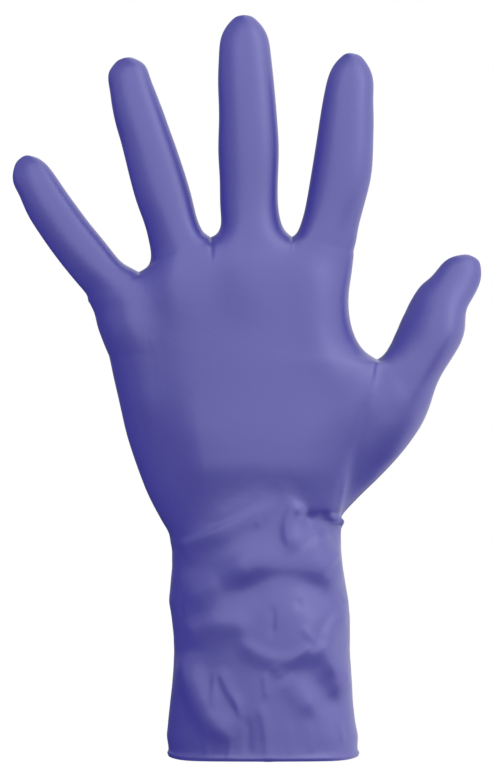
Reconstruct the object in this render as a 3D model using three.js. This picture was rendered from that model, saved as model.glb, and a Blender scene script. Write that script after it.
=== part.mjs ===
// A nitrile exam glove, the left one of a pair, in its worn form with its digits spread: one film, dipped in one
// piece, from the fingertips to the bead that is rolled at the open end of its loose cuff.
// Millimetres. +Z runs from the cuff's opening to the fingertips, +X to the thumb, -Y out of the glove's back.
// The origin is the centre of the cuff's opening.
//
// The glove starts as a flat pattern in the XZ plane: a trunk (cuff, heel and knuckles) with five digits joined to
// it edge to edge. The pattern's outline is the glove's outline. Two copies of it are then filled out from the
// middle, one to the back and one to the palm side, and the wall is what lies between that skin and a second skin
// inside it.
import * as THREE from "three";

// Lengths along the trunk
const CUFF_LENGTH = 80.5; // open end to the wrist
const HEEL_LENGTH = 52; // wrist to the crotch of the thumb
const KNUCKLE_LENGTH = 40; // crotch of the thumb to the web beside the middle finger

// Breadths and depths of the trunk
const CUFF_BREADTH = 63;
const CUFF_DEPTH = 46;
const PALM_BREADTH = 87;
const PALM_DEPTH = 28;
const PALM_ARCH = 4; // how far the edges of the palm curve towards the palm side

// The film. A real one is about a tenth of this thick
const WALL = 1.0;
const BEAD_HEIGHT = 2.4;
const BEAD_STAND = 0.6; // how far the rolled bead stands out of the cuff

// Digits: length from root to tip, breadth, and lean from +Z towards +X in degrees. As shares of the length, the dome
// that rounds the tip, and reach and curl, how far the tip is set towards the palm side, evenly and increasingly. As
// a share of the breadth, how far the tip lies to the side
const DIGITS = {
  little: { length: 52.4, breadth: 15.2, lean: -34.1, dome: 0.19, reach: 0.04, curl: 0.1, tip: -0.09 },
  ring: { length: 67.2, breadth: 17.2, lean: -13.7, dome: 0.12, reach: 0.015, curl: 0.12, tip: -0.055 },
  middle: { length: 73.5, breadth: 19.0, lean: -2.0, dome: 0.19, reach: 0, curl: 0.122, tip: 0 },
  index: { length: 63.8, breadth: 19.1, lean: 8.1, dome: 0.22, reach: 0.016, curl: 0.11, tip: 0.04 },
  thumb: { length: 71.0, breadth: 19.8, lean: 32.2, dome: 0.17, reach: 0.225, curl: -0.042, tip: 0.06 },
};
const FINGERS = ["little", "ring", "middle", "index"];
const DIGIT_FILL = 0.53; // how far in from its edge a digit goes on filling out, as a share of its breadth
const ROOT_SHARE = 0.35; // the share of a digit over which it takes over from the trunk
const RELIEF_DEPTH = 9; // the half depth at which folds and swellings reach their full height

// Mesh density
const COLUMNS = 8; // columns of faces across one side of a digit
const DOME_ROWS = 4;
const CUFF_ROWS = 14;
const OPEN_SHARE = 0.8; // how much the trunk's columns open out where the thumb starts

// The trunk's bands. Shares in the tables below are of their band's height, breadth and depth
const BANDS = {
  cuff: { from: 0, height: CUFF_LENGTH, breadth: CUFF_BREADTH, depth: CUFF_DEPTH },
  heel: { from: CUFF_LENGTH, height: HEEL_LENGTH, breadth: PALM_BREADTH, depth: PALM_DEPTH },
  knuckles: {
    from: CUFF_LENGTH + HEEL_LENGTH,
    height: KNUCKLE_LENGTH,
    breadth: PALM_BREADTH,
    depth: PALM_DEPTH,
  },
};

// Sections of the trunk: up the band, its edges on the little finger's and the thumb's side, how far in from an edge
// it goes on filling out, and how far its middle is set towards the palm side
const TRUNK = [
  { band: "cuff", up: 0.0, little: -0.49, thumb: 0.494, fill: 0.47, set: 0.0 },
  { band: "cuff", up: 0.09, little: -0.504, thumb: 0.497, fill: 0.47, set: 0.0 },
  { band: "cuff", up: 0.2, little: -0.492, thumb: 0.475, fill: 0.47, set: 0.0 },
  { band: "cuff", up: 0.34, little: -0.473, thumb: 0.464, fill: 0.46, set: 0.0 },
  { band: "cuff", up: 0.46, little: -0.466, thumb: 0.454, fill: 0.45, set: 0.01 },
  { band: "cuff", up: 0.56, little: -0.475, thumb: 0.456, fill: 0.44, set: 0.02 },
  { band: "cuff", up: 0.66, little: -0.493, thumb: 0.446, fill: 0.42, set: 0.03 },
  { band: "cuff", up: 0.75, little: -0.481, thumb: 0.426, fill: 0.4, set: 0.04 },
  { band: "cuff", up: 0.84, little: -0.476, thumb: 0.411, fill: 0.38, set: 0.05 },
  { band: "cuff", up: 0.93, little: -0.494, thumb: 0.408, fill: 0.36, set: 0.055 },
  { band: "heel", up: 0.0, little: -0.394, thumb: 0.297, fill: 0.56, set: 0.08 },
  { band: "heel", up: 0.15, little: -0.44, thumb: 0.322, fill: 0.5, set: 0.06 },
  { band: "heel", up: 0.32, little: -0.478, thumb: 0.344, fill: 0.44, set: 0.04 },
  { band: "heel", up: 0.5, little: -0.514, thumb: 0.366, fill: 0.4, set: 0.0 },
  { band: "heel", up: 0.75, little: -0.549, thumb: 0.397, fill: 0.37, set: -0.04 },
  { band: "knuckles", up: 0.0, little: -0.582, thumb: 0.425, fill: 0.36, set: -0.07 },
  { band: "knuckles", up: 1.0, little: -0.66, thumb: 0.34, fill: 0.34, set: -0.1 },
];

// Rows from the crotch of the thumb to the knuckle line: how far along they are, and their ends on the little
// finger's and the index finger's side, which climb at different rates
const KNUCKLES = [
  { along: 0.1, little: -0.59, littleUp: 0.048, index: 0.383, indexUp: 0.066 },
  { along: 0.3, little: -0.608, littleUp: 0.144, index: 0.34, indexUp: 0.231 },
  { along: 0.55, little: -0.628, littleUp: 0.264, index: 0.324, indexUp: 0.479 },
  { along: 0.75, little: -0.638, littleUp: 0.359, index: 0.335, indexUp: 0.685 },
  { along: 0.89, little: -0.651, littleUp: 0.426, index: 0.341, indexUp: 0.8 },
  { along: 0.96, little: -0.659, littleUp: 0.46, index: 0.344, indexUp: 0.854 },
  { along: 1.0, little: -0.664, littleUp: 0.479, index: 0.344, indexUp: 0.891 },
];

// The webs between the fingers, from the little finger to the index finger
const WEBS = [
  { across: -0.47, up: 0.715 },
  { across: -0.198, up: 1.0 },
  { across: 0.11, up: 1.005 },
];

// Sections of each digit, from its root to where its tip's dome starts: along its length, how far its middle drifts
// to the side and half its breadth, as shares of its breadth, and how far it is turned, in degrees
const SECTIONS = {
  little: [
    { along: 0.05, drift: -0.04, half: 0.55, turn: 0 },
    { along: 0.12, drift: -0.095, half: 0.515, turn: 0 },
    { along: 0.25, drift: -0.135, half: 0.52, turn: 0 },
    { along: 0.4, drift: -0.175, half: 0.512, turn: 0 },
    { along: 0.54, drift: -0.19, half: 0.503, turn: 0 },
    { along: 0.68, drift: -0.188, half: 0.487, turn: 0 },
    { along: 0.8, drift: -0.15, half: 0.447, turn: 0 },
  ],
  ring: [
    { along: 0.02, drift: 0.062, half: 0.632, turn: -15 },
    { along: 0.057, drift: 0.084, half: 0.545, turn: -12 },
    { along: 0.114, drift: 0.075, half: 0.514, turn: -12 },
    { along: 0.194, drift: 0.072, half: 0.503, turn: -6 },
    { along: 0.303, drift: 0.044, half: 0.525, turn: 0 },
    { along: 0.453, drift: 0.018, half: 0.512, turn: 0 },
    { along: 0.605, drift: -0.014, half: 0.482, turn: 0 },
    { along: 0.737, drift: -0.05, half: 0.461, turn: 0 },
    { along: 0.85, drift: -0.062, half: 0.412, turn: 0 },
  ],
  middle: [
    { along: 0.02, drift: 0.0, half: 0.6, turn: 0 },
    { along: 0.065, drift: 0.0, half: 0.52, turn: 0 },
    { along: 0.15, drift: -0.022, half: 0.503, turn: 0 },
    { along: 0.27, drift: -0.008, half: 0.507, turn: 0 },
    { along: 0.4, drift: 0.002, half: 0.527, turn: 0 },
    { along: 0.55, drift: 0.012, half: 0.501, turn: 0 },
    { along: 0.69, drift: -0.002, half: 0.487, turn: 0 },
    { along: 0.8, drift: -0.004, half: 0.457, turn: 0 },
  ],
  index: [
    { along: 0.04, drift: 0.048, half: 0.515, turn: 0 },
    { along: 0.1, drift: 0.075, half: 0.492, turn: 0 },
    { along: 0.17, drift: 0.1, half: 0.49, turn: 0 },
    { along: 0.27, drift: 0.127, half: 0.503, turn: 0 },
    { along: 0.4, drift: 0.148, half: 0.514, turn: 0 },
    { along: 0.55, drift: 0.13, half: 0.488, turn: 0 },
    { along: 0.68, drift: 0.106, half: 0.46, turn: 0 },
    { along: 0.78, drift: 0.085, half: 0.425, turn: 0 },
  ],
  thumb: [
    { along: 0.075, drift: 0.08, half: 1.13, turn: 65 },
    { along: 0.175, drift: 0.165, half: 0.935, turn: 55 },
    { along: 0.269, drift: 0.205, half: 0.778, turn: 43 },
    { along: 0.354, drift: 0.2, half: 0.68, turn: 33 },
    { along: 0.46, drift: 0.122, half: 0.575, turn: 24 },
    { along: 0.566, drift: 0.09, half: 0.553, turn: 15 },
    { along: 0.669, drift: 0.062, half: 0.535, turn: 5 },
    { along: 0.755, drift: -0.016, half: 0.442, turn: 1 },
    { along: 0.82, drift: 0.0, half: 0.387, turn: 0 },
  ],
};

// Round swellings and hollows, on the glove's back or its palm side: where they lie in their band, their radius as a
// share of its breadth, and how far they stand out as a share of its depth
const SWELLINGS = [
  { side: "back", band: "knuckles", across: -0.52, up: 0.25, radius: 0.092, rise: 0.036 },
  { side: "back", band: "knuckles", across: -0.32, up: 0.6, radius: 0.092, rise: 0.039 },
  { side: "back", band: "knuckles", across: -0.06, up: 0.68, radius: 0.098, rise: 0.046 },
  { side: "back", band: "knuckles", across: 0.25, up: 0.42, radius: 0.103, rise: 0.046 },
  { side: "back", band: "heel", across: 0.53, up: 0.46, radius: 0.103, rise: 0.054 },
  { side: "back", band: "cuff", across: 0.13, up: 0.61, radius: 0.16, rise: 0.035 },
  { side: "palm", band: "heel", across: 0.24, up: 0.42, radius: 0.195, rise: 0.093 },
  { side: "palm", band: "heel", across: 0.36, up: 0.78, radius: 0.184, rise: 0.086 },
  { side: "palm", band: "heel", across: -0.36, up: 0.45, radius: 0.23, rise: 0.093 },
  { side: "palm", band: "heel", across: -0.04, up: 0.85, radius: 0.195, rise: -0.057 },
];

// Folds of the film, each a ridge or a hollow along a line from one end to the other, both in the cuff's shares: how
// far the line bows to its left as a share of its length, how far the fold stands out as a share of the cuff's depth,
// and how broad it is on its left and on its right as shares of the cuff's breadth, as seen from its start
const FOLDS = [
  { side: "back", from: [-0.455, 0.87], to: [0.08, 1.06], bow: -0.02, rise: 0.026, left: 0.06, right: 0.075 },
  { side: "back", from: [-0.45, 0.645], to: [0.12, 0.93], bow: 0.0, rise: 0.03, left: 0.08, right: 0.06 },
  { side: "back", from: [-0.27, 0.66], to: [0.42, 0.65], bow: 0.16, rise: -0.04, left: 0.06, right: 0.09 },
  { side: "back", from: [0.165, 1.07], to: [0.15, 0.8], bow: -0.03, rise: 0.035, left: 0.13, right: 0.05 },
  { side: "back", from: [0.15, 1.02], to: [0.42, 0.955], bow: 0.0, rise: -0.048, left: 0.05, right: 0.05 },
  { side: "back", from: [-0.45, 0.52], to: [0.02, 0.59], bow: 0.05, rise: 0.024, left: 0.06, right: 0.08 },
  { side: "back", from: [-0.13, 0.5], to: [0.28, 0.475], bow: -0.24, rise: 0.026, left: 0.08, right: 0.05 },
  { side: "back", from: [0.27, 0.45], to: [0.44, 0.67], bow: -0.04, rise: 0.022, left: 0.07, right: 0.05 },
  { side: "back", from: [0.26, 0.48], to: [0.46, 0.24], bow: 0.0, rise: 0.026, left: 0.08, right: 0.05 },
  { side: "back", from: [0.2, 0.44], to: [0.44, 0.16], bow: -0.03, rise: -0.024, left: 0.05, right: 0.06 },
  { side: "back", from: [0.08, 0.36], to: [0.31, 0.24], bow: -0.12, rise: 0.024, left: 0.06, right: 0.05 },
  { side: "back", from: [-0.43, 0.45], to: [-0.11, 0.09], bow: -0.12, rise: 0.035, left: 0.1, right: 0.06 },
  { side: "back", from: [-0.03, 0.37], to: [0.045, 0.0], bow: 0.0, rise: 0.02, left: 0.055, right: 0.05 },
  { side: "palm", from: [-0.42, 0.98], to: [0.4, 0.93], bow: -0.04, rise: -0.04, left: 0.065, right: 0.05 },
  { side: "palm", from: [-0.4, 0.82], to: [0.2, 0.87], bow: 0.05, rise: 0.03, left: 0.065, right: 0.05 },
  { side: "palm", from: [0.42, 0.78], to: [-0.1, 0.66], bow: 0.04, rise: 0.03, left: 0.05, right: 0.065 },
  { side: "palm", from: [-0.4, 0.6], to: [-0.05, 0.3], bow: 0.04, rise: 0.026, left: 0.065, right: 0.05 },
  { side: "palm", from: [0.35, 0.58], to: [0.1, 0.2], bow: 0.03, rise: 0.026, left: 0.05, right: 0.065 },
  { side: "palm", from: [-0.12, 0.4], to: [-0.2, 0.03], bow: 0.0, rise: 0.02, left: 0.05, right: 0.05 },
];
const FOLD_END = 0.22; // the share of a fold over which it dies away at either end

// How far in from its edge, and at what rate, the pattern fills out
const FILL_RATE = 2;
const SWEEPS = 900;
const OVER_RELAXATION = 1.8;

const FILM_COLOUR = 0x6660ad;

// A cubic through one column of a table, read at a place between its rows
function between(rows, place, value, at) {
  const last = rows.length - 1;
  const above = rows.findIndex((row) => row[place] > at);
  const i = above < 0 ? last - 1 : Math.max(above - 1, 0);
  const slope = (a, b) => (rows[b][value] - rows[a][value]) / (rows[b][place] - rows[a][place]);
  const span = rows[i + 1][place] - rows[i][place];
  const share = THREE.MathUtils.clamp((at - rows[i][place]) / span, 0, 1);
  const rise = rows[i + 1][value] - rows[i][value];
  const leaving = slope(Math.max(i - 1, 0), i + 1) * span - rise;
  const arriving = slope(i, Math.min(i + 2, last)) * span - rise;
  return rows[i][value] + rise * share + share * (1 - share) * ((1 - share) * leaving - share * arriving);
}

// Places from 0 to 1 that crowd towards both ends, as points evenly round a half circle do when seen from the side,
// or towards the start only
const rounded = (i, count) => (1 - Math.cos((Math.PI * i) / count)) / 2;
const roundedAtStart = (i, count) => 1 - Math.cos((Math.PI * i) / (2 * count));
const mix = THREE.MathUtils.lerp;
const ease = THREE.MathUtils.smoothstep;

// The flat pattern: points, grids of points that are joined to their neighbours, and the fans at the fingertips
const points = [];
const faces = [];

function addPoint(x, z, onOutline, fill, set) {
  points.push({ x, z, onOutline, fill, set });
  return points.length - 1;
}

function addFaces(grid) {
  for (let row = 1; row < grid.length; row++) {
    for (let col = 1; col < grid[row].length; col++) {
      const [a, b] = [grid[row - 1][col - 1], grid[row - 1][col]];
      const [c, d] = [grid[row][col], grid[row][col - 1]];
      faces.push([a, b, c], [a, c, d]);
    }
  }
}

const sections = TRUNK.map((row) => {
  const { from, height, breadth, depth } = BANDS[row.band];
  return {
    z: from + row.up * height,
    little: row.little * breadth,
    thumb: row.thumb * breadth,
    fill: row.fill * depth,
    set: row.set * depth,
  };
});
const trunkAt = (value, z) => between(sections, "z", value, z);

// The knuckle line, from which the fingers start: its five corners, and the points between them
function knuckleLine() {
  const { from, height, breadth } = BANDS.knuckles;
  const top = KNUCKLES.at(-1);
  const corners = [
    { across: top.little, up: top.littleUp },
    ...WEBS,
    { across: top.index, up: top.indexUp },
  ].map(({ across, up }) => ({ x: across * breadth, z: from + up * height }));
  const line = [];
  for (let col = 0; col <= FINGERS.length * COLUMNS; col++) {
    const finger = Math.min(Math.floor(col / COLUMNS), FINGERS.length - 1);
    const share = rounded(col - finger * COLUMNS, COLUMNS);
    const [start, end] = [corners[finger], corners[finger + 1]];
    line.push({ x: mix(start.x, end.x, share), z: mix(start.z, end.z, share) });
  }
  return line;
}

// A row of the trunk from one edge to the other. Its points crowd at the webs near the knuckles, at the two edges
// near the cuff, and less at its end by the share open, where the thumb starts. The rows rise to the knuckle line's
// shape by the share rise
function trunkRow({ start, end, line, rise = 0, open = 0 }) {
  const cols = line.length - 1;
  const [first, last] = [line[0], line[cols]];
  const wristToKnuckles = ease(mix(start.z, end.z, 0.5), CUFF_LENGTH, first.z);
  return line.map((point, col) => {
    const byFinger = (point.x - first.x) / (last.x - first.x);
    const crowded = mix(rounded(col, cols), byFinger, wristToKnuckles);
    const share = mix(crowded, roundedAtStart(col, cols), open);
    const x = mix(start.x, end.x, share);
    const z = mix(start.z, end.z, share) + rise * (point.z - mix(first.z, last.z, byFinger));
    const fromMiddle = 2 * share - 1;
    const arch = PALM_ARCH * fromMiddle ** 2 * wristToKnuckles;
    const atWeb = rise === 1 && col % COLUMNS === 0;
    const onOutline = col === 0 || (col === cols && open === 0) || atWeb;
    return addPoint(x, z, onOutline, trunkAt("fill", z), trunkAt("set", z) + arch);
  });
}

function makeTrunk() {
  const line = knuckleLine();
  const edge = (side, z) => ({ x: trunkAt(side, z), z });
  const heights = [0, BEAD_HEIGHT / 2];
  for (let i = 0; i < CUFF_ROWS; i++) heights.push(mix(BEAD_HEIGHT, CUFF_LENGTH, i / CUFF_ROWS));
  const grid = heights.map((z) => trunkRow({ start: edge("little", z), end: edge("thumb", z), line }));
  for (let i = 0; i <= COLUMNS; i++) {
    const start = edge("little", CUFF_LENGTH + HEEL_LENGTH * (i / COLUMNS));
    const end = edge("thumb", CUFF_LENGTH + HEEL_LENGTH * rounded(i, COLUMNS));
    const open = i % COLUMNS === 0 ? 0 : OPEN_SHARE * Math.sin(Math.PI * rounded(i, COLUMNS));
    grid.push(trunkRow({ start, end, line, open }));
  }
  const thumbRoot = grid.slice(-COLUMNS - 1).map((row) => row.at(-1));
  const { from, height, breadth } = BANDS.knuckles;
  for (const row of KNUCKLES) {
    const start = { x: row.little * breadth, z: from + row.littleUp * height };
    const end = { x: row.index * breadth, z: from + row.indexUp * height };
    grid.push(trunkRow({ start, end, line, rise: row.along }));
  }
  addFaces(grid);
  return { grid, thumbRoot: thumbRoot.reverse() };
}

// A digit from its root, a row of the trunk's points given from left to right as seen with its tip up
function makeDigit(name, root) {
  const { length, breadth, lean, dome, reach, curl, tip } = DIGITS[name];
  const angle = THREE.MathUtils.degToRad(lean);
  const along = new THREE.Vector2(Math.sin(angle), Math.cos(angle));
  const across = new THREE.Vector2(Math.cos(angle), -Math.sin(angle));
  const ends = [points[root[0]], points[root.at(-1)]];
  const middle = new THREE.Vector2((ends[0].x + ends[1].x) / 2, (ends[0].z + ends[1].z) / 2);
  const rootSet = root.reduce((sum, id) => sum + points[id].set, 0) / root.length;
  const rows = [...SECTIONS[name]];
  const start = rows.at(-1);
  for (let i = 1; i < DOME_ROWS; i++) {
    const round = (Math.PI / 2) * (i / DOME_ROWS);
    rows.push({
      along: 1 - dome + dome * Math.sin(round),
      drift: mix(tip, start.drift, Math.cos(round)),
      half: start.half * Math.cos(round),
      turn: start.turn,
    });
  }
  const bend = (share) => (reach * share + curl * share ** 2) * length;
  const grid = [root];
  for (const row of rows) {
    const turn = THREE.MathUtils.degToRad(row.turn);
    const centre = middle.clone();
    centre.addScaledVector(along, row.along * length);
    centre.addScaledVector(across, row.drift * breadth);
    const side = across.clone().multiplyScalar(Math.cos(turn)).addScaledVector(along, -Math.sin(turn));
    const own = ease(row.along, 0, ROOT_SHARE);
    const ids = root.map((id, col) => {
      const place = (2 * rounded(col, COLUMNS) - 1) * row.half * breadth;
      const fill = mix(points[id].fill, DIGIT_FILL * breadth, own);
      const set = mix(points[id].set, rootSet, own) + bend(row.along);
      const onOutline = col === 0 || col === COLUMNS;
      return addPoint(centre.x + side.x * place, centre.y + side.y * place, onOutline, fill, set);
    });
    grid.push(ids);
  }
  addFaces(grid);
  const top = middle.clone().addScaledVector(along, length).addScaledVector(across, tip * breadth);
  const pole = addPoint(top.x, top.y, true, DIGIT_FILL * breadth, rootSet + bend(1));
  const ring = grid.at(-1);
  for (let col = 1; col < ring.length; col++) faces.push([ring[col - 1], ring[col], pole]);
}

// Fills the pattern out. The square of the half depth obeys the equation of a film that is blown up against springs:
// it is nothing on the outline, grows like a tube's in a digit, and levels off where the pattern is broad
function fillOut() {
  const links = points.map(() => new Map());
  const area = points.map(() => 0);
  for (const face of faces) {
    const [a, b, c] = face.map((id) => new THREE.Vector2(points[id].x, points[id].z));
    const twice = Math.abs(b.clone().sub(a).cross(c.clone().sub(a)));
    [[a, b, c], [b, c, a], [c, a, b]].forEach(([p, q, r], i) => {
      const [from, to] = [face[(i + 1) % 3], face[(i + 2) % 3]];
      const cotangent = q.clone().sub(p).dot(r.clone().sub(p)) / twice;
      links[from].set(to, (links[from].get(to) ?? 0) + cotangent / 2);
      links[to].set(from, (links[to].get(from) ?? 0) + cotangent / 2);
      area[face[i]] += twice / 6;
    });
  }
  const squares = points.map(() => 0);
  const free = points.map((_, id) => id).filter((id) => !points[id].onOutline);
  for (let sweep = 0; sweep < SWEEPS; sweep++) {
    for (const id of free) {
      let pull = FILL_RATE * area[id];
      let hold = area[id] / points[id].fill ** 2;
      for (const [other, weight] of links[id]) {
        pull += weight * squares[other];
        hold += weight;
      }
      squares[id] += OVER_RELAXATION * (pull / hold - squares[id]);
    }
  }
  return squares.map((square) => Math.sqrt(Math.max(square, 0)));
}

// How far a fold lifts the film at a place
function foldAt(fold, x, z) {
  const from = new THREE.Vector2(fold.from[0] * CUFF_BREADTH, fold.from[1] * CUFF_LENGTH);
  const to = new THREE.Vector2(fold.to[0] * CUFF_BREADTH, fold.to[1] * CUFF_LENGTH);
  const run = to.clone().sub(from);
  const offset = new THREE.Vector2(x, z).sub(from);
  const share = offset.dot(run) / run.lengthSq();
  const bow = fold.bow * run.length() * 4 * share * (1 - share);
  const left = run.cross(offset) / run.length() - bow;
  const across = left / ((left > 0 ? fold.left : fold.right) * CUFF_BREADTH);
  const end = ease(share, 0, FOLD_END) * ease(1 - share, 0, FOLD_END);
  return fold.rise * CUFF_DEPTH * Math.exp(-(across ** 2)) * end;
}

function swellingAt(swelling, x, z) {
  const { from, height, breadth, depth } = BANDS[swelling.band];
  const away = Math.hypot(x - swelling.across * breadth, z - from - swelling.up * height);
  return swelling.rise * depth * Math.exp(-((away / (swelling.radius * breadth)) ** 2));
}

function reliefAt(side, x, z) {
  const swelling = SWELLINGS.filter((one) => one.side === side).reduce((sum, one) => sum + swellingAt(one, x, z), 0);
  return FOLDS.filter((one) => one.side === side).reduce((sum, one) => sum + foldAt(one, x, z), swelling);
}

// Corner normals of a skin, averaged by area
function normalsOf(skin, triangles) {
  const normals = skin.map(() => new THREE.Vector3());
  for (const [a, b, c] of triangles) {
    const normal = skin[b].clone().sub(skin[a]).cross(skin[c].clone().sub(skin[a]));
    for (const id of [a, b, c]) normals[id].add(normal);
  }
  return normals.map((normal) => normal.normalize());
}

const { grid: trunk, thumbRoot } = makeTrunk();
makeDigit("thumb", thumbRoot);
FINGERS.forEach((name, i) => makeDigit(name, trunk.at(-1).slice(i * COLUMNS, (i + 1) * COLUMNS + 1)));
const halfDepths = fillOut();

// The skin: one point for each point of the pattern on the back, and one more on the palm side unless the point is
// on the outline
const skin = points.map(({ x, z, set }, id) => new THREE.Vector3(x, set - halfDepths[id], z));
const palmId = points.map(({ x, z, set, onOutline }, id) => {
  if (onOutline) return id;
  return skin.push(new THREE.Vector3(x, set + halfDepths[id], z)) - 1;
});
const triangles = faces.flatMap(([a, b, c]) => [
  [a, b, c],
  [palmId[a], palmId[c], palmId[b]],
]);

let normals = normalsOf(skin, triangles);
const relief = skin.map(() => 0);
points.forEach(({ x, z }, id) => {
  const share = ease(halfDepths[id], 0, RELIEF_DEPTH);
  relief[id] = share * reliefAt("back", x, z);
  relief[palmId[id]] = share * reliefAt("palm", x, z);
});
skin.forEach((point, id) => point.addScaledVector(normals[id], relief[id]));
normals = normalsOf(skin, triangles);

// The cuff's end is flat, so the wall there lies level
const openEnd = [...trunk[0], ...trunk[0].slice(1, -1).map((id) => palmId[id]).reverse()];
for (const id of openEnd) {
  skin[id].z = 0;
  normals[id].setZ(0).normalize();
}
const inside = skin.map((point, id) => point.clone().addScaledVector(normals[id], -WALL));

// The bead: the cuff's end row and the row over it stand out
const beadRows = [
  { row: 0, stand: 0.45 * BEAD_STAND },
  { row: 1, stand: BEAD_STAND },
];
for (const { row, stand } of beadRows) {
  for (const id of new Set([...trunk[row], ...trunk[row].map((one) => palmId[one])])) {
    const outwards = normals[id].clone().setZ(0).normalize();
    skin[id].addScaledVector(outwards, stand);
  }
}

const count = skin.length;
const rim = openEnd.flatMap((a, i) => {
  const b = openEnd[(i + 1) % openEnd.length];
  return [
    [b, a, a + count],
    [b, a + count, b + count],
  ];
});
const lining = triangles.map(([a, b, c]) => [a + count, c + count, b + count]);
const geometry = new THREE.BufferGeometry().setFromPoints([...skin, ...inside]);
geometry.setIndex([...triangles, ...lining, ...rim].flat());
geometry.computeVertexNormals();

const film = new THREE.MeshStandardMaterial({ color: FILM_COLOUR, roughness: 0.45, metalness: 0 });
const glove = new THREE.Mesh(geometry, film);
glove.name = "glove";

const assembly = new THREE.Group();
assembly.add(glove);

export default assembly;
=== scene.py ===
# The looks of a nitrile exam glove in its worn form, held up by its cuff.
# Metres, +Z to the fingertips, +X to the thumb, -Y out of its back.
import math

import bpy
import numpy as np
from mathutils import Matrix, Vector
from mathutils.kdtree import KDTree


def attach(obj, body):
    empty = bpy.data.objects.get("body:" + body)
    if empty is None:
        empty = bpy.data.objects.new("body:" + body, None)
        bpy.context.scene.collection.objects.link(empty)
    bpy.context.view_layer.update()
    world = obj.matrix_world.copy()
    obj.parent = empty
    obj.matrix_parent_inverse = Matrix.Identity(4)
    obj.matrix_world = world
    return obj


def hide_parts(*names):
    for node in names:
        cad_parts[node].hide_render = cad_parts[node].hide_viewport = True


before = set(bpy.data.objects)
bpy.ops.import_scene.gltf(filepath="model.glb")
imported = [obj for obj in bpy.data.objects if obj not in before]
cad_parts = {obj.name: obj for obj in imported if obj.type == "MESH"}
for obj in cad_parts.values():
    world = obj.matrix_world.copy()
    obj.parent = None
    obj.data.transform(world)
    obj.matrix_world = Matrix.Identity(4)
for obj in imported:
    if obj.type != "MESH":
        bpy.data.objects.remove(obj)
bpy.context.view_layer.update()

MM = 0.001

# The camera, level with the middle of the glove and far off, so that it sees the cuff's end edge on
FRAME_HEIGHT = 255.4 * MM
FRAME_CENTRE = Vector((-5.3 * MM, 0, 123.1 * MM))
CAMERA_DISTANCE = 5.0
SENSOR = 36.0
FARTHEST_SEEN = 30

camera_data = bpy.data.cameras.new("camera")
camera_data.sensor_fit = "VERTICAL"
camera_data.sensor_height = SENSOR
camera_data.lens = SENSOR * CAMERA_DISTANCE / FRAME_HEIGHT
camera_data.clip_end = FARTHEST_SEEN
camera = bpy.data.objects.new("camera", camera_data)
camera.location = FRAME_CENTRE + Vector((0, -CAMERA_DISTANCE, 0))
camera.rotation_euler = (math.pi / 2, 0, 0)
bpy.context.scene.collection.objects.link(camera)
bpy.context.scene.camera = camera

# The solid that the glove is fitted to
WELD = 0.001 * MM  # corners closer than this are one point
OPEN_END = 0.01 * MM  # faces lower than this close the wall at the open end and are left out
SKEW_OF_THE_REST = 0.25  # how much a quad's other corners count beside its least square one
FITTING_ROUNDS = 3

# The film
FILM = 0.5 * MM  # between the skin that shows outside and the one that shows inside
CARRIERS = 4  # how many points of the outer skin carry a point of the inner one
CARRIER_SOFTENING = 0.05 * MM  # keeps the closest one from counting alone
CUFF_TOP = 80.6 * MM
CUFF_ROW = 5 * MM  # rows of the cuff that are taller than this are halved
OUTER_LEVELS = 2  # of subdivision
INNER_LEVELS = 1

# The hem and its bead
BEAD_HEIGHT = 1.3 * MM
BEAD_THICK = 1.1 * MM
BEAD_INSET = 0.28  # how far the bead's middle lies inside the film, as a share of its thickness
BEAD_SIDES = 14
HEM_CURL = 1.5 * MM  # how far the hem rises at its two sides
HEM_CURL_POWER = 10
HEM_CURL_TOP = 12 * MM  # where the cuff no longer rises with the hem
HEM_TOP = 1 * MM  # points lower than this are the hem's

# The lip of the pinch at the right edge
LIP_HEIGHT = 78.3 * MM
LIP_SPAN = 1.3 * MM
LIP_DEPTH = -2 * MM
LIP_DEPTH_SPAN = 6 * MM
LIP_REACH = (21 * MM, 26 * MM)  # how far to the right it starts and is full
LIP_OUT = 1.3 * MM

# How far a normal has to face the front for a fold or a swell to start and to be full
FOLD_FACING = (0.05, 0.45)
SWELL_FACING = (0, 0.3)

# The front of the cuff that is evened out, in millimetres: where that starts and where it is full, or where
# it is full and where it ends
EVENED_DEPTH = (2, 8)
EVENED_MIDDLE = -2
EVENED_SIDES = (17, 26)  # away from its middle, on both sides
EVENED_HEM = (1, 6)
EVENED_WRIST = (80, 90)
EVENED_SHARE = 0.9  # how far a point goes to the mean of its neighbours in a round
EVENED_LEAST = 0.02  # smaller shares are left out
EVENED_ROUNDS = 60


def ease(value, low, high):
    share = np.clip((value - low) / (high - low), 0, 1)
    return share * share * (3 - 2 * share)


def skins_of(node):
    """The outer and the inner skin of a hollow CAD node, open at z = 0, each as points and triangles."""
    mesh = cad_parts[node].data
    mesh.calc_loop_triangles()
    corners = np.array([v.co for v in mesh.vertices])
    triangles = np.array([t.vertices[:] for t in mesh.loop_triangles])
    keys = np.round(corners / WELD).astype(np.int64)
    _, first, same = np.unique(keys, axis=0, return_index=True, return_inverse=True)
    points = corners[first]
    triangles = same.reshape(-1)[triangles]
    low = points[:, 2] < OPEN_END
    triangles = triangles[~low[triangles].all(axis=1)]
    skin = np.arange(len(points))
    while True:
        before = skin.copy()
        lowest = skin[triangles].min(axis=1)
        for i in range(3):
            np.minimum.at(skin, triangles[:, i], lowest)
        skin = skin[skin]
        if (skin == before).all():
            break
    found = []
    for label in np.unique(skin[triangles[:, 0]]):
        own = triangles[skin[triangles[:, 0]] == label]
        used, own = np.unique(own, return_inverse=True)
        found.append((points[used], own.reshape(-1, 3)))
    return sorted(found, key=lambda one: -np.ptp(one[0][:, 0]))


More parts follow.
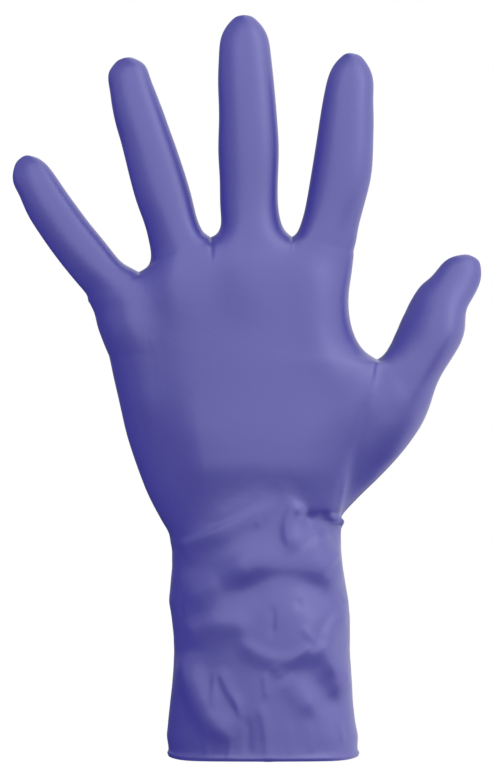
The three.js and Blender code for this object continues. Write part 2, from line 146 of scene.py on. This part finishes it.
def joined_in_quads(points, triangles):
    """Joins the pairs of triangles that make the squarest quads. What finds no partner stays a triangle."""
    sides = {}
    for index, triangle in enumerate(triangles.tolist()):
        for i in range(3):
            a, b, c = triangle[i], triangle[(i + 1) % 3], triangle[(i + 2) % 3]
            sides.setdefault((min(a, b), max(a, b)), []).append((index, a, b, c))
    pairs = []
    for found in sides.values():
        if len(found) != 2:
            continue
        (one, a, b, c), (other, _, _, d) = found
        ring = [a, d, b, c]
        corners = points[ring]
        legs = np.roll(corners, -1, axis=0) - corners
        legs /= np.linalg.norm(legs, axis=1)[:, None]
        turns = np.abs((legs * np.roll(legs, 1, axis=0)).sum(axis=1))
        pairs.append((turns.max() + SKEW_OF_THE_REST * turns.sum(), one, other, ring))
    pairs.sort(key=lambda pair: pair[0])
    taken = set()
    faces = []
    for _, one, other, ring in pairs:
        if one in taken or other in taken:
            continue
        taken.update((one, other))
        faces.append(ring)
    faces.extend(t for index, t in enumerate(triangles.tolist()) if index not in taken)
    return faces


def mesh_object(name, points, faces):
    mesh = bpy.data.meshes.new(name)
    mesh.from_pydata([tuple(p) for p in points], [], [tuple(f) for f in faces])
    mesh.update()
    obj = bpy.data.objects.new(name, mesh)
    bpy.context.scene.collection.objects.link(obj)
    return obj


def halved_rows(points, faces):
    """Halves the tall faces of the cuff's level rows."""
    points = [np.array(p) for p in points]
    middles = {}

    def middle(a, b):
        key = (min(a, b), max(a, b))
        if key not in middles:
            middles[key] = len(points)
            points.append((points[a] + points[b]) / 2)
        return middles[key]

    result = []
    for face in faces:
        heights = [points[i][2] for i in face]
        if len(face) != 4 or max(heights) > CUFF_TOP or max(heights) - min(heights) < CUFF_ROW:
            result.append(face)
            continue
        while abs(points[face[0]][2] - points[face[1]][2]) > CUFF_ROW / 2:
            face = face[1:] + face[:1]
        a, b, c, d = face
        result.append([a, b, middle(b, c), middle(d, a)])
        result.append([middle(d, a), middle(b, c), c, d])

    def with_middles(face):
        """A face with the middles that a halved neighbour has put on its sides, so that no crack opens."""
        corners = []
        for a, b in zip(face, face[1:] + face[:1]):
            corners.append(a)
            if (min(a, b), max(a, b)) in middles:
                corners.append(middle(a, b))
        return corners

    return np.array(points), [with_middles(face) for face in result]


def subdivided(obj, levels):
    """Subdivides a smooth surface through the mesh's own points: each round moves them by what it misses."""
    modifier = obj.modifiers.new("round", "SUBSURF")
    modifier.levels = modifier.render_levels = levels
    wanted = points_of(obj.data)
    moved = wanted.copy()
    for _ in range(FITTING_ROUNDS):
        set_points(obj.data, moved)
        obj.update_tag()
        graph = bpy.context.evaluated_depsgraph_get()
        reached = points_of(obj.evaluated_get(graph).data)[: len(wanted)]
        moved += wanted - reached
    set_points(obj.data, moved)
    obj.update_tag()
    graph = bpy.context.evaluated_depsgraph_get()
    mesh = bpy.data.meshes.new_from_object(obj.evaluated_get(graph))
    obj.modifiers.clear()
    old = obj.data
    obj.data = mesh
    bpy.data.meshes.remove(old)


def points_of(mesh):
    co = np.zeros(len(mesh.vertices) * 3)
    mesh.vertices.foreach_get("co", co)
    return co.reshape(-1, 3)


def normals_of(mesh):
    normals = np.zeros(len(mesh.vertices) * 3)
    mesh.vertices.foreach_get("normal", normals)
    return normals.reshape(-1, 3)


def set_points(mesh, co):
    mesh.vertices.foreach_set("co", co.reshape(-1))
    mesh.update()


# Folds of the film on the back of the glove, each along a smooth line of points (x, z) in millimetres: how
# far it stands out (a hollow is below zero), how broad it is to the left and to the right of the line, and
# the shares of the line over which it dies away at its start and its end, where 0 means that it doesn't
FOLDS = [
    # Pulls across the wrist, from the left edge up to the thumb's side
    {"line": [(-29, 70.0), (-15, 75.6), (-2.6, 81.7), (7, 86.5)],
     "rise": 0.85, "left": 1.5, "right": 4.2, "ends": (0.1, 0.3)},
    {"line": [(-18.3, 78.4), (-8.4, 84.5), (-3, 88)],
     "rise": 0.25, "left": 1.4, "right": 2.6, "ends": (0.4, 0.4)},
    {"line": [(-1.6, 80.5), (-1.3, 76)],
     "rise": 0.16, "left": 0.9, "right": 0.9, "ends": (0.4, 0.4)},
    {"line": [(-27, 51.5), (-13.4, 59.0), (-4.3, 66.5), (5.6, 72.4)],
     "rise": 0.9, "left": 3.4, "right": 5.0, "ends": (0.2, 0.3)},
    # The arch over the cuff, with the bulge that hangs under it
    {"line": [(-15, 58.0), (-5.9, 62.7), (2.3, 64.4), (10.6, 64.1), (18.8, 62.1), (27, 57.0)],
     "rise": 1.9, "left": 7.0, "right": 5.4, "ends": (0.25, 0.15)},
    {"line": [(-3, 54.5), (7, 57.8), (17.5, 55)],
     "rise": 0.35, "left": 2.8, "right": 5.0, "ends": (0.3, 0.3)},
    {"line": [(7.5, 52), (12.5, 42)],
     "rise": 1.2, "left": 9.5, "right": 9.5, "ends": (0, 0)},
    {"line": [(2.9, 52), (3.2, 46), (2.8, 40)],
     "rise": -0.4, "left": 1.0, "right": 1.4, "ends": (0.3, 0.3)},
    {"line": [(11.2, 54), (12.0, 49)],
     "rise": -0.3, "left": 1.4, "right": 1.6, "ends": (0.4, 0.4)},
    {"line": [(11.4, 44.6), (17.2, 38.8)],
     "rise": 0.3, "left": 1.4, "right": 1.2, "ends": (0.3, 0.2)},
    # The gather under the thumb: a sharp ridge, the facet beside it and the pinch that reaches the edge
    {"line": [(11.3, 86), (8.7, 80.5), (8.0, 75), (9.9, 67)],
     "rise": 1.5, "left": 4.6, "right": 2.2, "ends": (0.15, 0.35)},
    {"line": [(16, 73.5), (24, 65)],
     "rise": 0.9, "left": 4.0, "right": 5.0, "ends": (0.2, 0.2)},
    {"line": [(11.8, 82.2), (16.3, 79.3), (23.8, 76.8), (28, 76.4)],
     "rise": -0.95, "left": 2.1, "right": 2.7, "ends": (0.2, 0)},
    {"line": [(19.5, 81.6), (24.2, 79.4), (28, 78.2)],
     "rise": 0.9, "left": 1.5, "right": 0.9, "ends": (0.4, 0)},
    # The bulge's lower lip, which turns up into a crease at its right
    {"line": [(-9, 40.4), (-3, 36.6), (2.5, 34.0), (7.5, 33.6), (12.4, 35.4), (17.6, 38.6)],
     "rise": 0.75, "left": 2.0, "right": 3.6, "ends": (0.25, 0.15)},
    {"line": [(27.6, 53.5), (22.9, 48.7), (18.8, 42.9), (17.4, 37.6)],
     "rise": -0.6, "left": 2.4, "right": 1.8, "ends": (0.1, 0.2)},
    {"line": [(2.8, 32), (6.6, 27)],
     "rise": 0.18, "left": 1.6, "right": 1.6, "ends": (0.3, 0.3)},
    # Drapes that run down from the bulge to the hem
    {"line": [(17.4, 38.4), (19.6, 35.5), (23.8, 31.4), (29, 26)],
     "rise": 0.4, "left": 3.4, "right": 2.8, "ends": (0.15, 0.1)},
    {"line": [(6.2, 28), (10.4, 22.8), (13.9, 19.4), (19, 19.2)],
     "rise": 0.4, "left": 3.4, "right": 3.2, "ends": (0.2, 0.3)},
    {"line": [(-27.4, 37), (-22.6, 22.3), (-19.3, 14.6), (-14.4, 10.2), (-7.5, 7.8)],
     "rise": 1.3, "left": 4.6, "right": 3.2, "ends": (0.3, 0.2)},
    {"line": [(-27, 41.5), (-16.7, 44.6), (-2.6, 45.4)],
     "rise": 0.8, "left": 3.2, "right": 4.4, "ends": (0.2, 0.25)},
    {"line": [(-15.2, 31.4), (-11.9, 24.1), (-6.9, 15.5)],
     "rise": 0.4, "left": 2.4, "right": 1.2, "ends": (0.25, 0.25)},
    {"line": [(-16.0, 31), (-16.4, 17)],
     "rise": 0.28, "left": 1.3, "right": 0.9, "ends": (0.3, 0.3)},
    {"line": [(-9.8, 23), (-7.2, 13.5)],
     "rise": 0.28, "left": 1.2, "right": 0.9, "ends": (0.3, 0.3)},
    {"line": [(-1.4, 20), (1.0, 9.9), (1.8, -1)],
     "rise": 0.4, "left": 1.7, "right": 1.6, "ends": (0.25, 0.1)},
    {"line": [(0.4, 30), (1.2, 19.6)],
     "rise": 0.3, "left": 1.1, "right": 1.0, "ends": (0.3, 0.3)},
    {"line": [(-5.2, 16), (-4.9, 1)],
     "rise": -0.3, "left": 1.6, "right": 1.3, "ends": (0.3, 0.15)},
    {"line": [(-11, 10), (-11.4, 0)],
     "rise": 0.22, "left": 1.2, "right": 0.9, "ends": (0.3, 0.2)},
    {"line": [(-18.6, 12), (-19, 1)],
     "rise": 0.22, "left": 1.3, "right": 0.9, "ends": (0.3, 0.2)},
    {"line": [(8.2, 15), (9.2, 1)],
     "rise": 0.2, "left": 1.4, "right": 1.0, "ends": (0.4, 0.2)},
    {"line": [(15, 14), (15.6, 2)],
     "rise": 0.18, "left": 1.4, "right": 1.0, "ends": (0.4, 0.2)},
    {"line": [(24.2, 15), (25.6, 9.9), (26.4, 5)],
     "rise": 0.35, "left": 1.1, "right": 1.0, "ends": (0.3, 0.3)},
    # The crease between two fingers
    {"line": [(-17.2, 174), (-17.1, 163)],
     "rise": -0.5, "left": 0.9, "right": 0.9, "ends": (0.1, 0.5)},
]

# Broader forms in the same terms, which stand out straight to the front and so leave the outline as it is
SWELLS = [
    # The heel, which falls away to the wrist
    {"line": [(-34, 96), (-6, 99), (26, 97)],
     "rise": 2.4, "left": 26.0, "right": 9.0, "ends": (0.25, 0.25)},
    # The knuckles' soft ridges
    {"line": [(14.5, 170), (17, 140), (28, 119)],
     "rise": 0.9, "left": 6.0, "right": 6.5, "ends": (0.2, 0.3)},
    {"line": [(-7.5, 172), (-6.5, 132)],
     "rise": 0.45, "left": 5.5, "right": 6.0, "ends": (0.2, 0.65)},
    {"line": [(-31.5, 170), (-28.5, 130)],
     "rise": 0.5, "left": 5.0, "right": 5.0, "ends": (0.2, 0.65)},
    {"line": [(-48, 156), (-43, 138)],
     "rise": 0.5, "left": 4.5, "right": 4.5, "ends": (0.25, 0.4)},
    # The thumb's back, turned to the right
    {"line": [(39, 94), (52, 118), (63, 142), (70.5, 160)],
     "rise": 6.0, "left": 12.0, "right": 7.5, "ends": (0.7, 0.3)},
    # The left edge stays full above the heel
    {"line": [(-51, 150), (-45.5, 127), (-39, 106)],
     "rise": 1.8, "left": 9.0, "right": 4.5, "ends": (0.3, 0.3)},
]

# The seam where the thumb's root meets the palm, whose depth is evened out too
THUMB_ROOT_LINE = {"line": [(38, 131), (34, 116), (30, 100), (27, 84)],
                   "rise": 1.0, "left": 7.0, "right": 7.0, "ends": (0.06, 0)}


def smooth_line(points, steps=10):
    """A smooth line through points, as many short straight stretches."""
    points = np.array(points, float)
    padded = np.vstack([2 * points[0] - points[1], points, 2 * points[-1] - points[-2]])
    line = [points[0]]
    for i in range(1, len(padded) - 2):
        p0, p1, p2, p3 = padded[i - 1 : i + 3]
        for step in range(1, steps + 1):
            t = step / steps
            line.append(
                0.5 * (2 * p1 + (p2 - p0) * t + (2 * p0 - 5 * p1 + 4 * p2 - p3) * t**2
                       + (3 * p1 - p0 - 3 * p2 + p3) * t**3)
            )
    return np.array(line)


def fold_heights(places, fold):
    """How far a fold lifts the film at places (x, z) in millimetres."""
    line = smooth_line(fold["line"])
    starts = line[:-1]
    runs = line[1:] - starts
    lengths = np.linalg.norm(runs, axis=1)
    travelled = np.concatenate([[0], np.cumsum(lengths)])
    best = np.full(len(places), np.inf)
    side = np.zeros(len(places))
    share = np.zeros(len(places))
    for i, (start, run, length) in enumerate(zip(starts, runs, lengths)):
        offset = places - start
        t = np.clip((offset @ run) / length**2, 0, 1)
        away = offset - t[:, None] * run
        distance = np.linalg.norm(away, axis=1)
        closer = distance < best
        best[closer] = distance[closer]
        cross = run[0] * offset[:, 1] - run[1] * offset[:, 0]
        side[closer] = np.sign(cross[closer])
        share[closer] = ((travelled[i] + t * length) / travelled[-1])[closer]
    width = np.where(side > 0, fold["left"], fold["right"])
    profile = np.exp(-((best / width) ** 2))
    start, end = fold["ends"]
    fade = np.ones(len(places))
    if start > 0:
        fade *= ease(share, 0, start)
    if end > 0:
        fade *= ease(1 - share, 0, end)
    return fold["rise"] * profile * fade


def smoothed_depth(mesh, co):
    """Evens out the depth of the cuff's front, and along the line where the thumb's root meets the palm."""
    edges = np.zeros(len(mesh.edges) * 2, int)
    mesh.edges.foreach_get("vertices", edges)
    edges = edges.reshape(-1, 2)
    places = co[:, [0, 2]] / MM
    heights = places[:, 1]
    middle = 1 - ease(np.abs(places[:, 0] - EVENED_MIDDLE), *EVENED_SIDES)
    front = ease(-co[:, 1] / MM, *EVENED_DEPTH) * middle
    cuff = ease(heights, *EVENED_HEM) * (1 - ease(heights, *EVENED_WRIST)) * front
    weight = EVENED_SHARE * np.maximum(fold_heights(places, THUMB_ROOT_LINE), cuff)
    weight[weight < EVENED_LEAST] = 0
    edges = edges[(weight[edges] > 0).any(axis=1)]
    co = co.copy()
    count = np.maximum(np.bincount(edges.reshape(-1), minlength=len(co)), 1)
    for _ in range(EVENED_ROUNDS):
        total = np.zeros(len(co))
        np.add.at(total, edges[:, 0], co[edges[:, 1], 1])
        np.add.at(total, edges[:, 1], co[edges[:, 0], 1])
        co[:, 1] += weight * (total / count - co[:, 1])
    return co


def relief(co, normals):
    """Moves the front's points along their normals by the folds, and straight to the front by the swells."""
    places = co[:, [0, 2]] / MM
    facing = -normals[:, 1]
    folds = sum(fold_heights(places, fold) for fold in FOLDS) * ease(facing, *FOLD_FACING)
    swells = sum(fold_heights(places, swell) for swell in SWELLS) * ease(facing, *SWELL_FACING)
    moved = co + normals * (folds * MM)[:, None]
    moved[:, 1] -= swells * MM
    return moved


def pinched(co):
    """Pulls out the lip of the pinch under the thumb, where it reaches the right edge."""
    out = np.exp(-(((co[:, 2] - LIP_HEIGHT) / LIP_SPAN) ** 2)) * ease(co[:, 0], *LIP_REACH)
    near = np.exp(-(((co[:, 1] - LIP_DEPTH) / LIP_DEPTH_SPAN) ** 2))
    co = co.copy()
    co[:, 0] += LIP_OUT * out * near
    return co


def hem_curled(co):
    """Lifts the hem a little at its two sides."""
    half = np.abs(co[co[:, 2] < HEM_TOP, 0]).max()
    lift = HEM_CURL * np.abs(np.clip(co[:, 0] / half, -1, 1)) ** HEM_CURL_POWER
    near = 1 - ease(co[:, 2], 0, HEM_CURL_TOP)
    co = co.copy()
    co[:, 2] += lift * near
    return co


def carried(places, rest, moved):
    """Moves places as the points near them at rest have moved."""
    tree = KDTree(len(rest))
    for index, point in enumerate(rest):
        tree.insert(point, index)
    tree.balance()
    result = places.copy()
    for i, place in enumerate(places):
        near = tree.find_n(place, CARRIERS)
        weights = np.array([1 / (distance + CARRIER_SOFTENING) for _, _, distance in near])
        which = [index for _, index, _ in near]
        result[i] += weights @ (moved[which] - rest[which]) / weights.sum()
    return result


def open_edge(mesh):
    """The points round the mesh's open edge, in order."""
    uses = {}
    for polygon in mesh.polygons:
        for key in polygon.edge_keys:
            uses[key] = uses.get(key, 0) + 1
    after = {}
    for (a, b), count in uses.items():
        if count == 1:
            after.setdefault(a, []).append(b)
            after.setdefault(b, []).append(a)
    start = next(iter(after))
    ring, last = [start], None
    while True:
        onward = [n for n in after[ring[-1]] if n != last]
        last = ring[-1]
        if onward[0] == start or len(ring) > len(after):
            break
        ring.append(onward[0])
    return ring


def bead_of(mesh):
    """The rolled bead: an oval section swept round the cuff's open edge."""
    co = points_of(mesh)
    ring = co[open_edge(mesh)]
    ahead = np.roll(ring, -1, axis=0) - np.roll(ring, 1, axis=0)
    outward = np.stack([ahead[:, 1], -ahead[:, 0], np.zeros(len(ring))], axis=1)
    outward /= np.linalg.norm(outward, axis=1)[:, None]
    if (outward * ring)[:, :2].sum() < 0:
        outward = -outward
    points, faces = [], []
    for turn in range(BEAD_SIDES):
        angle = 2 * math.pi * turn / BEAD_SIDES
        out = BEAD_THICK / 2 * math.cos(angle) - BEAD_THICK * BEAD_INSET
        up = BEAD_HEIGHT / 2 * (1 + math.sin(angle))
        points.append(ring + outward * out + np.array([0, 0, up]))
    count = len(ring)
    for turn in range(BEAD_SIDES):
        onward = (turn + 1) % BEAD_SIDES
        for i in range(count):
            j = (i + 1) % count
            faces.append((turn * count + i, turn * count + j, onward * count + j, onward * count + i))
    return mesh_object("bead", np.vstack(points), faces)


def joined(name, *objects):
    with bpy.context.temp_override(active_object=objects[0], selected_editable_objects=list(objects)):
        bpy.ops.object.join()
    objects[0].name = name
    return objects[0]


# The glove: the skin that shows outside
outer_points, outer_triangles = skins_of("glove")[0]
quads = joined_in_quads(outer_points, outer_triangles)
base_points, base_faces = halved_rows(outer_points, quads)
film = mesh_object("glove_film", base_points, base_faces)
subdivided(film, OUTER_LEVELS)
film_rest = points_of(film.data)
set_points(film.data, smoothed_depth(film.data, film_rest))
film_moved = hem_curled(pinched(relief(points_of(film.data), normals_of(film.data))))
set_points(film.data, film_moved)

# The skin that shows inside, set in from the same form
inner = mesh_object("inner_skin", outer_points, quads)
subdivided(inner, INNER_LEVELS)
set_points(inner.data, carried(points_of(inner.data), film_rest, film_moved))
set_points(inner.data, points_of(inner.data) - normals_of(inner.data) * FILM)
inner.data.flip_normals()

bead = bead_of(film.data)
glove = joined("glove_film", film, inner, bead)
for polygon in glove.data.polygons:
    polygon.use_smooth = True


# Materials
def film_material():
    material = bpy.data.materials.new("nitrile_film")
    material.use_nodes = True
    nodes, links = material.node_tree.nodes, material.node_tree.links
    shader = nodes["Principled BSDF"]
    place = nodes.new("ShaderNodeTexCoord").outputs["Object"]

    def noise(scale, detail):
        node = nodes.new("ShaderNodeTexNoise")
        node.inputs["Scale"].default_value = scale
        node.inputs["Detail"].default_value = detail
        node.inputs["Roughness"].default_value = 0.5
        links.new(place, node.inputs["Vector"])
        return node.outputs["Fac"]

    # Dipped film is a little thicker and deeper in colour in soft clouds
    clouds = nodes.new("ShaderNodeMix")
    clouds.data_type = "RGBA"
    clouds.inputs["A"].default_value = (0.032, 0.026, 0.350, 1)
    clouds.inputs["B"].default_value = (0.038, 0.031, 0.390, 1)
    links.new(noise(scale=34, detail=3), clouds.inputs["Factor"])
    links.new(clouds.outputs["Result"], shader.inputs["Base Color"])

    gloss = nodes.new("ShaderNodeMapRange")
    gloss.inputs["To Min"].default_value = 0.38
    gloss.inputs["To Max"].default_value = 0.46
    links.new(noise(scale=60, detail=4), gloss.inputs["Value"])
    links.new(gloss.outputs["Result"], shader.inputs["Roughness"])

    # Orange peel of the dip, and the fine grain of the former
    peel = nodes.new("ShaderNodeBump")
    peel.inputs["Strength"].default_value = 0.12
    peel.inputs["Distance"].default_value = 0.4 * MM
    links.new(noise(scale=420, detail=2), peel.inputs["Height"])
    grain = nodes.new("ShaderNodeBump")
    grain.inputs["Strength"].default_value = 0.1
    grain.inputs["Distance"].default_value = 0.08 * MM
    links.new(noise(scale=2600, detail=2), grain.inputs["Height"])
    links.new(peel.outputs["Normal"], grain.inputs["Normal"])
    links.new(grain.outputs["Normal"], shader.inputs["Normal"])
    shader.inputs["IOR"].default_value = 1.6
    shader.inputs["Specular IOR Level"].default_value = 1.0
    return material


glove.data.materials.clear()
glove.data.materials.append(film_material())
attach(glove, "root")
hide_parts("glove")


# The studio
def plain_material(name, colour, roughness):
    material = bpy.data.materials.new(name)
    material.use_nodes = True
    shader = material.node_tree.nodes["Principled BSDF"]
    shader.inputs["Base Color"].default_value = (*colour, 1)
    shader.inputs["Roughness"].default_value = roughness
    shader.inputs["Specular IOR Level"].default_value = 0
    return material


FLOOR_Z = -40 * MM
FLOOR_RADIUS = 1.35  # its far edge lies just under the camera's view
FLOOR_SIDES = 96
rim = [2 * math.pi * i / FLOOR_SIDES for i in range(FLOOR_SIDES)]
circle = [(FLOOR_RADIUS * math.cos(a), FLOOR_RADIUS * math.sin(a), FLOOR_Z) for a in rim]
floor = mesh_object("floor", circle, [range(FLOOR_SIDES)])
floor.data.materials.append(plain_material("floor_paint", colour=(0.9, 0.9, 0.9), roughness=0.9))
floor.visible_glossy = False
floor.visible_shadow = False


def softbox(name, azimuth, elevation, distance, radius, radiance):
    """A round softbox that faces the glove, for sheen alone. Azimuths run from the camera to the right."""
    data = bpy.data.lights.new(name, "AREA")
    data.shape = "DISK"
    data.size = 2 * radius
    data.energy = radiance * math.pi * math.pi * radius**2
    turn, rise = math.radians(azimuth), math.radians(elevation)
    away = Vector((math.sin(turn) * math.cos(rise), -math.cos(turn) * math.cos(rise), math.sin(rise)))
    light = bpy.data.objects.new(name, data)
    light.location = FRAME_CENTRE + away * distance
    light.rotation_euler = (-away).to_track_quat("-Z", "Y").to_euler()
    light.visible_camera = False
    light.visible_diffuse = False
    bpy.context.scene.collection.objects.link(light)


# Even white light from all round gives the colour. The softboxes, near and above the middle, give the sheen.
softbox("key", azimuth=16, elevation=33, distance=0.9, radius=1.08, radiance=1.12)
softbox("right_fill", azimuth=115, elevation=22, distance=0.72, radius=1.25, radiance=1.2)
softbox("left_fill", azimuth=-74, elevation=42, distance=0.6, radius=0.58, radiance=0.35)
softbox("back_fill", azimuth=190, elevation=22, distance=0.9, radius=0.55, radiance=0.35)

world = bpy.data.worlds.new("studio")
bpy.context.scene.world = world
world.use_nodes = True
background = world.node_tree.nodes["Background"]
background.inputs["Color"].default_value = (1, 1, 1, 1)
background.inputs["Strength"].default_value = 1.0
world.cycles_visibility.glossy = False
bpy.context.scene.view_settings.view_transform = "Standard"
bpy.context.scene.view_settings.look = "None"
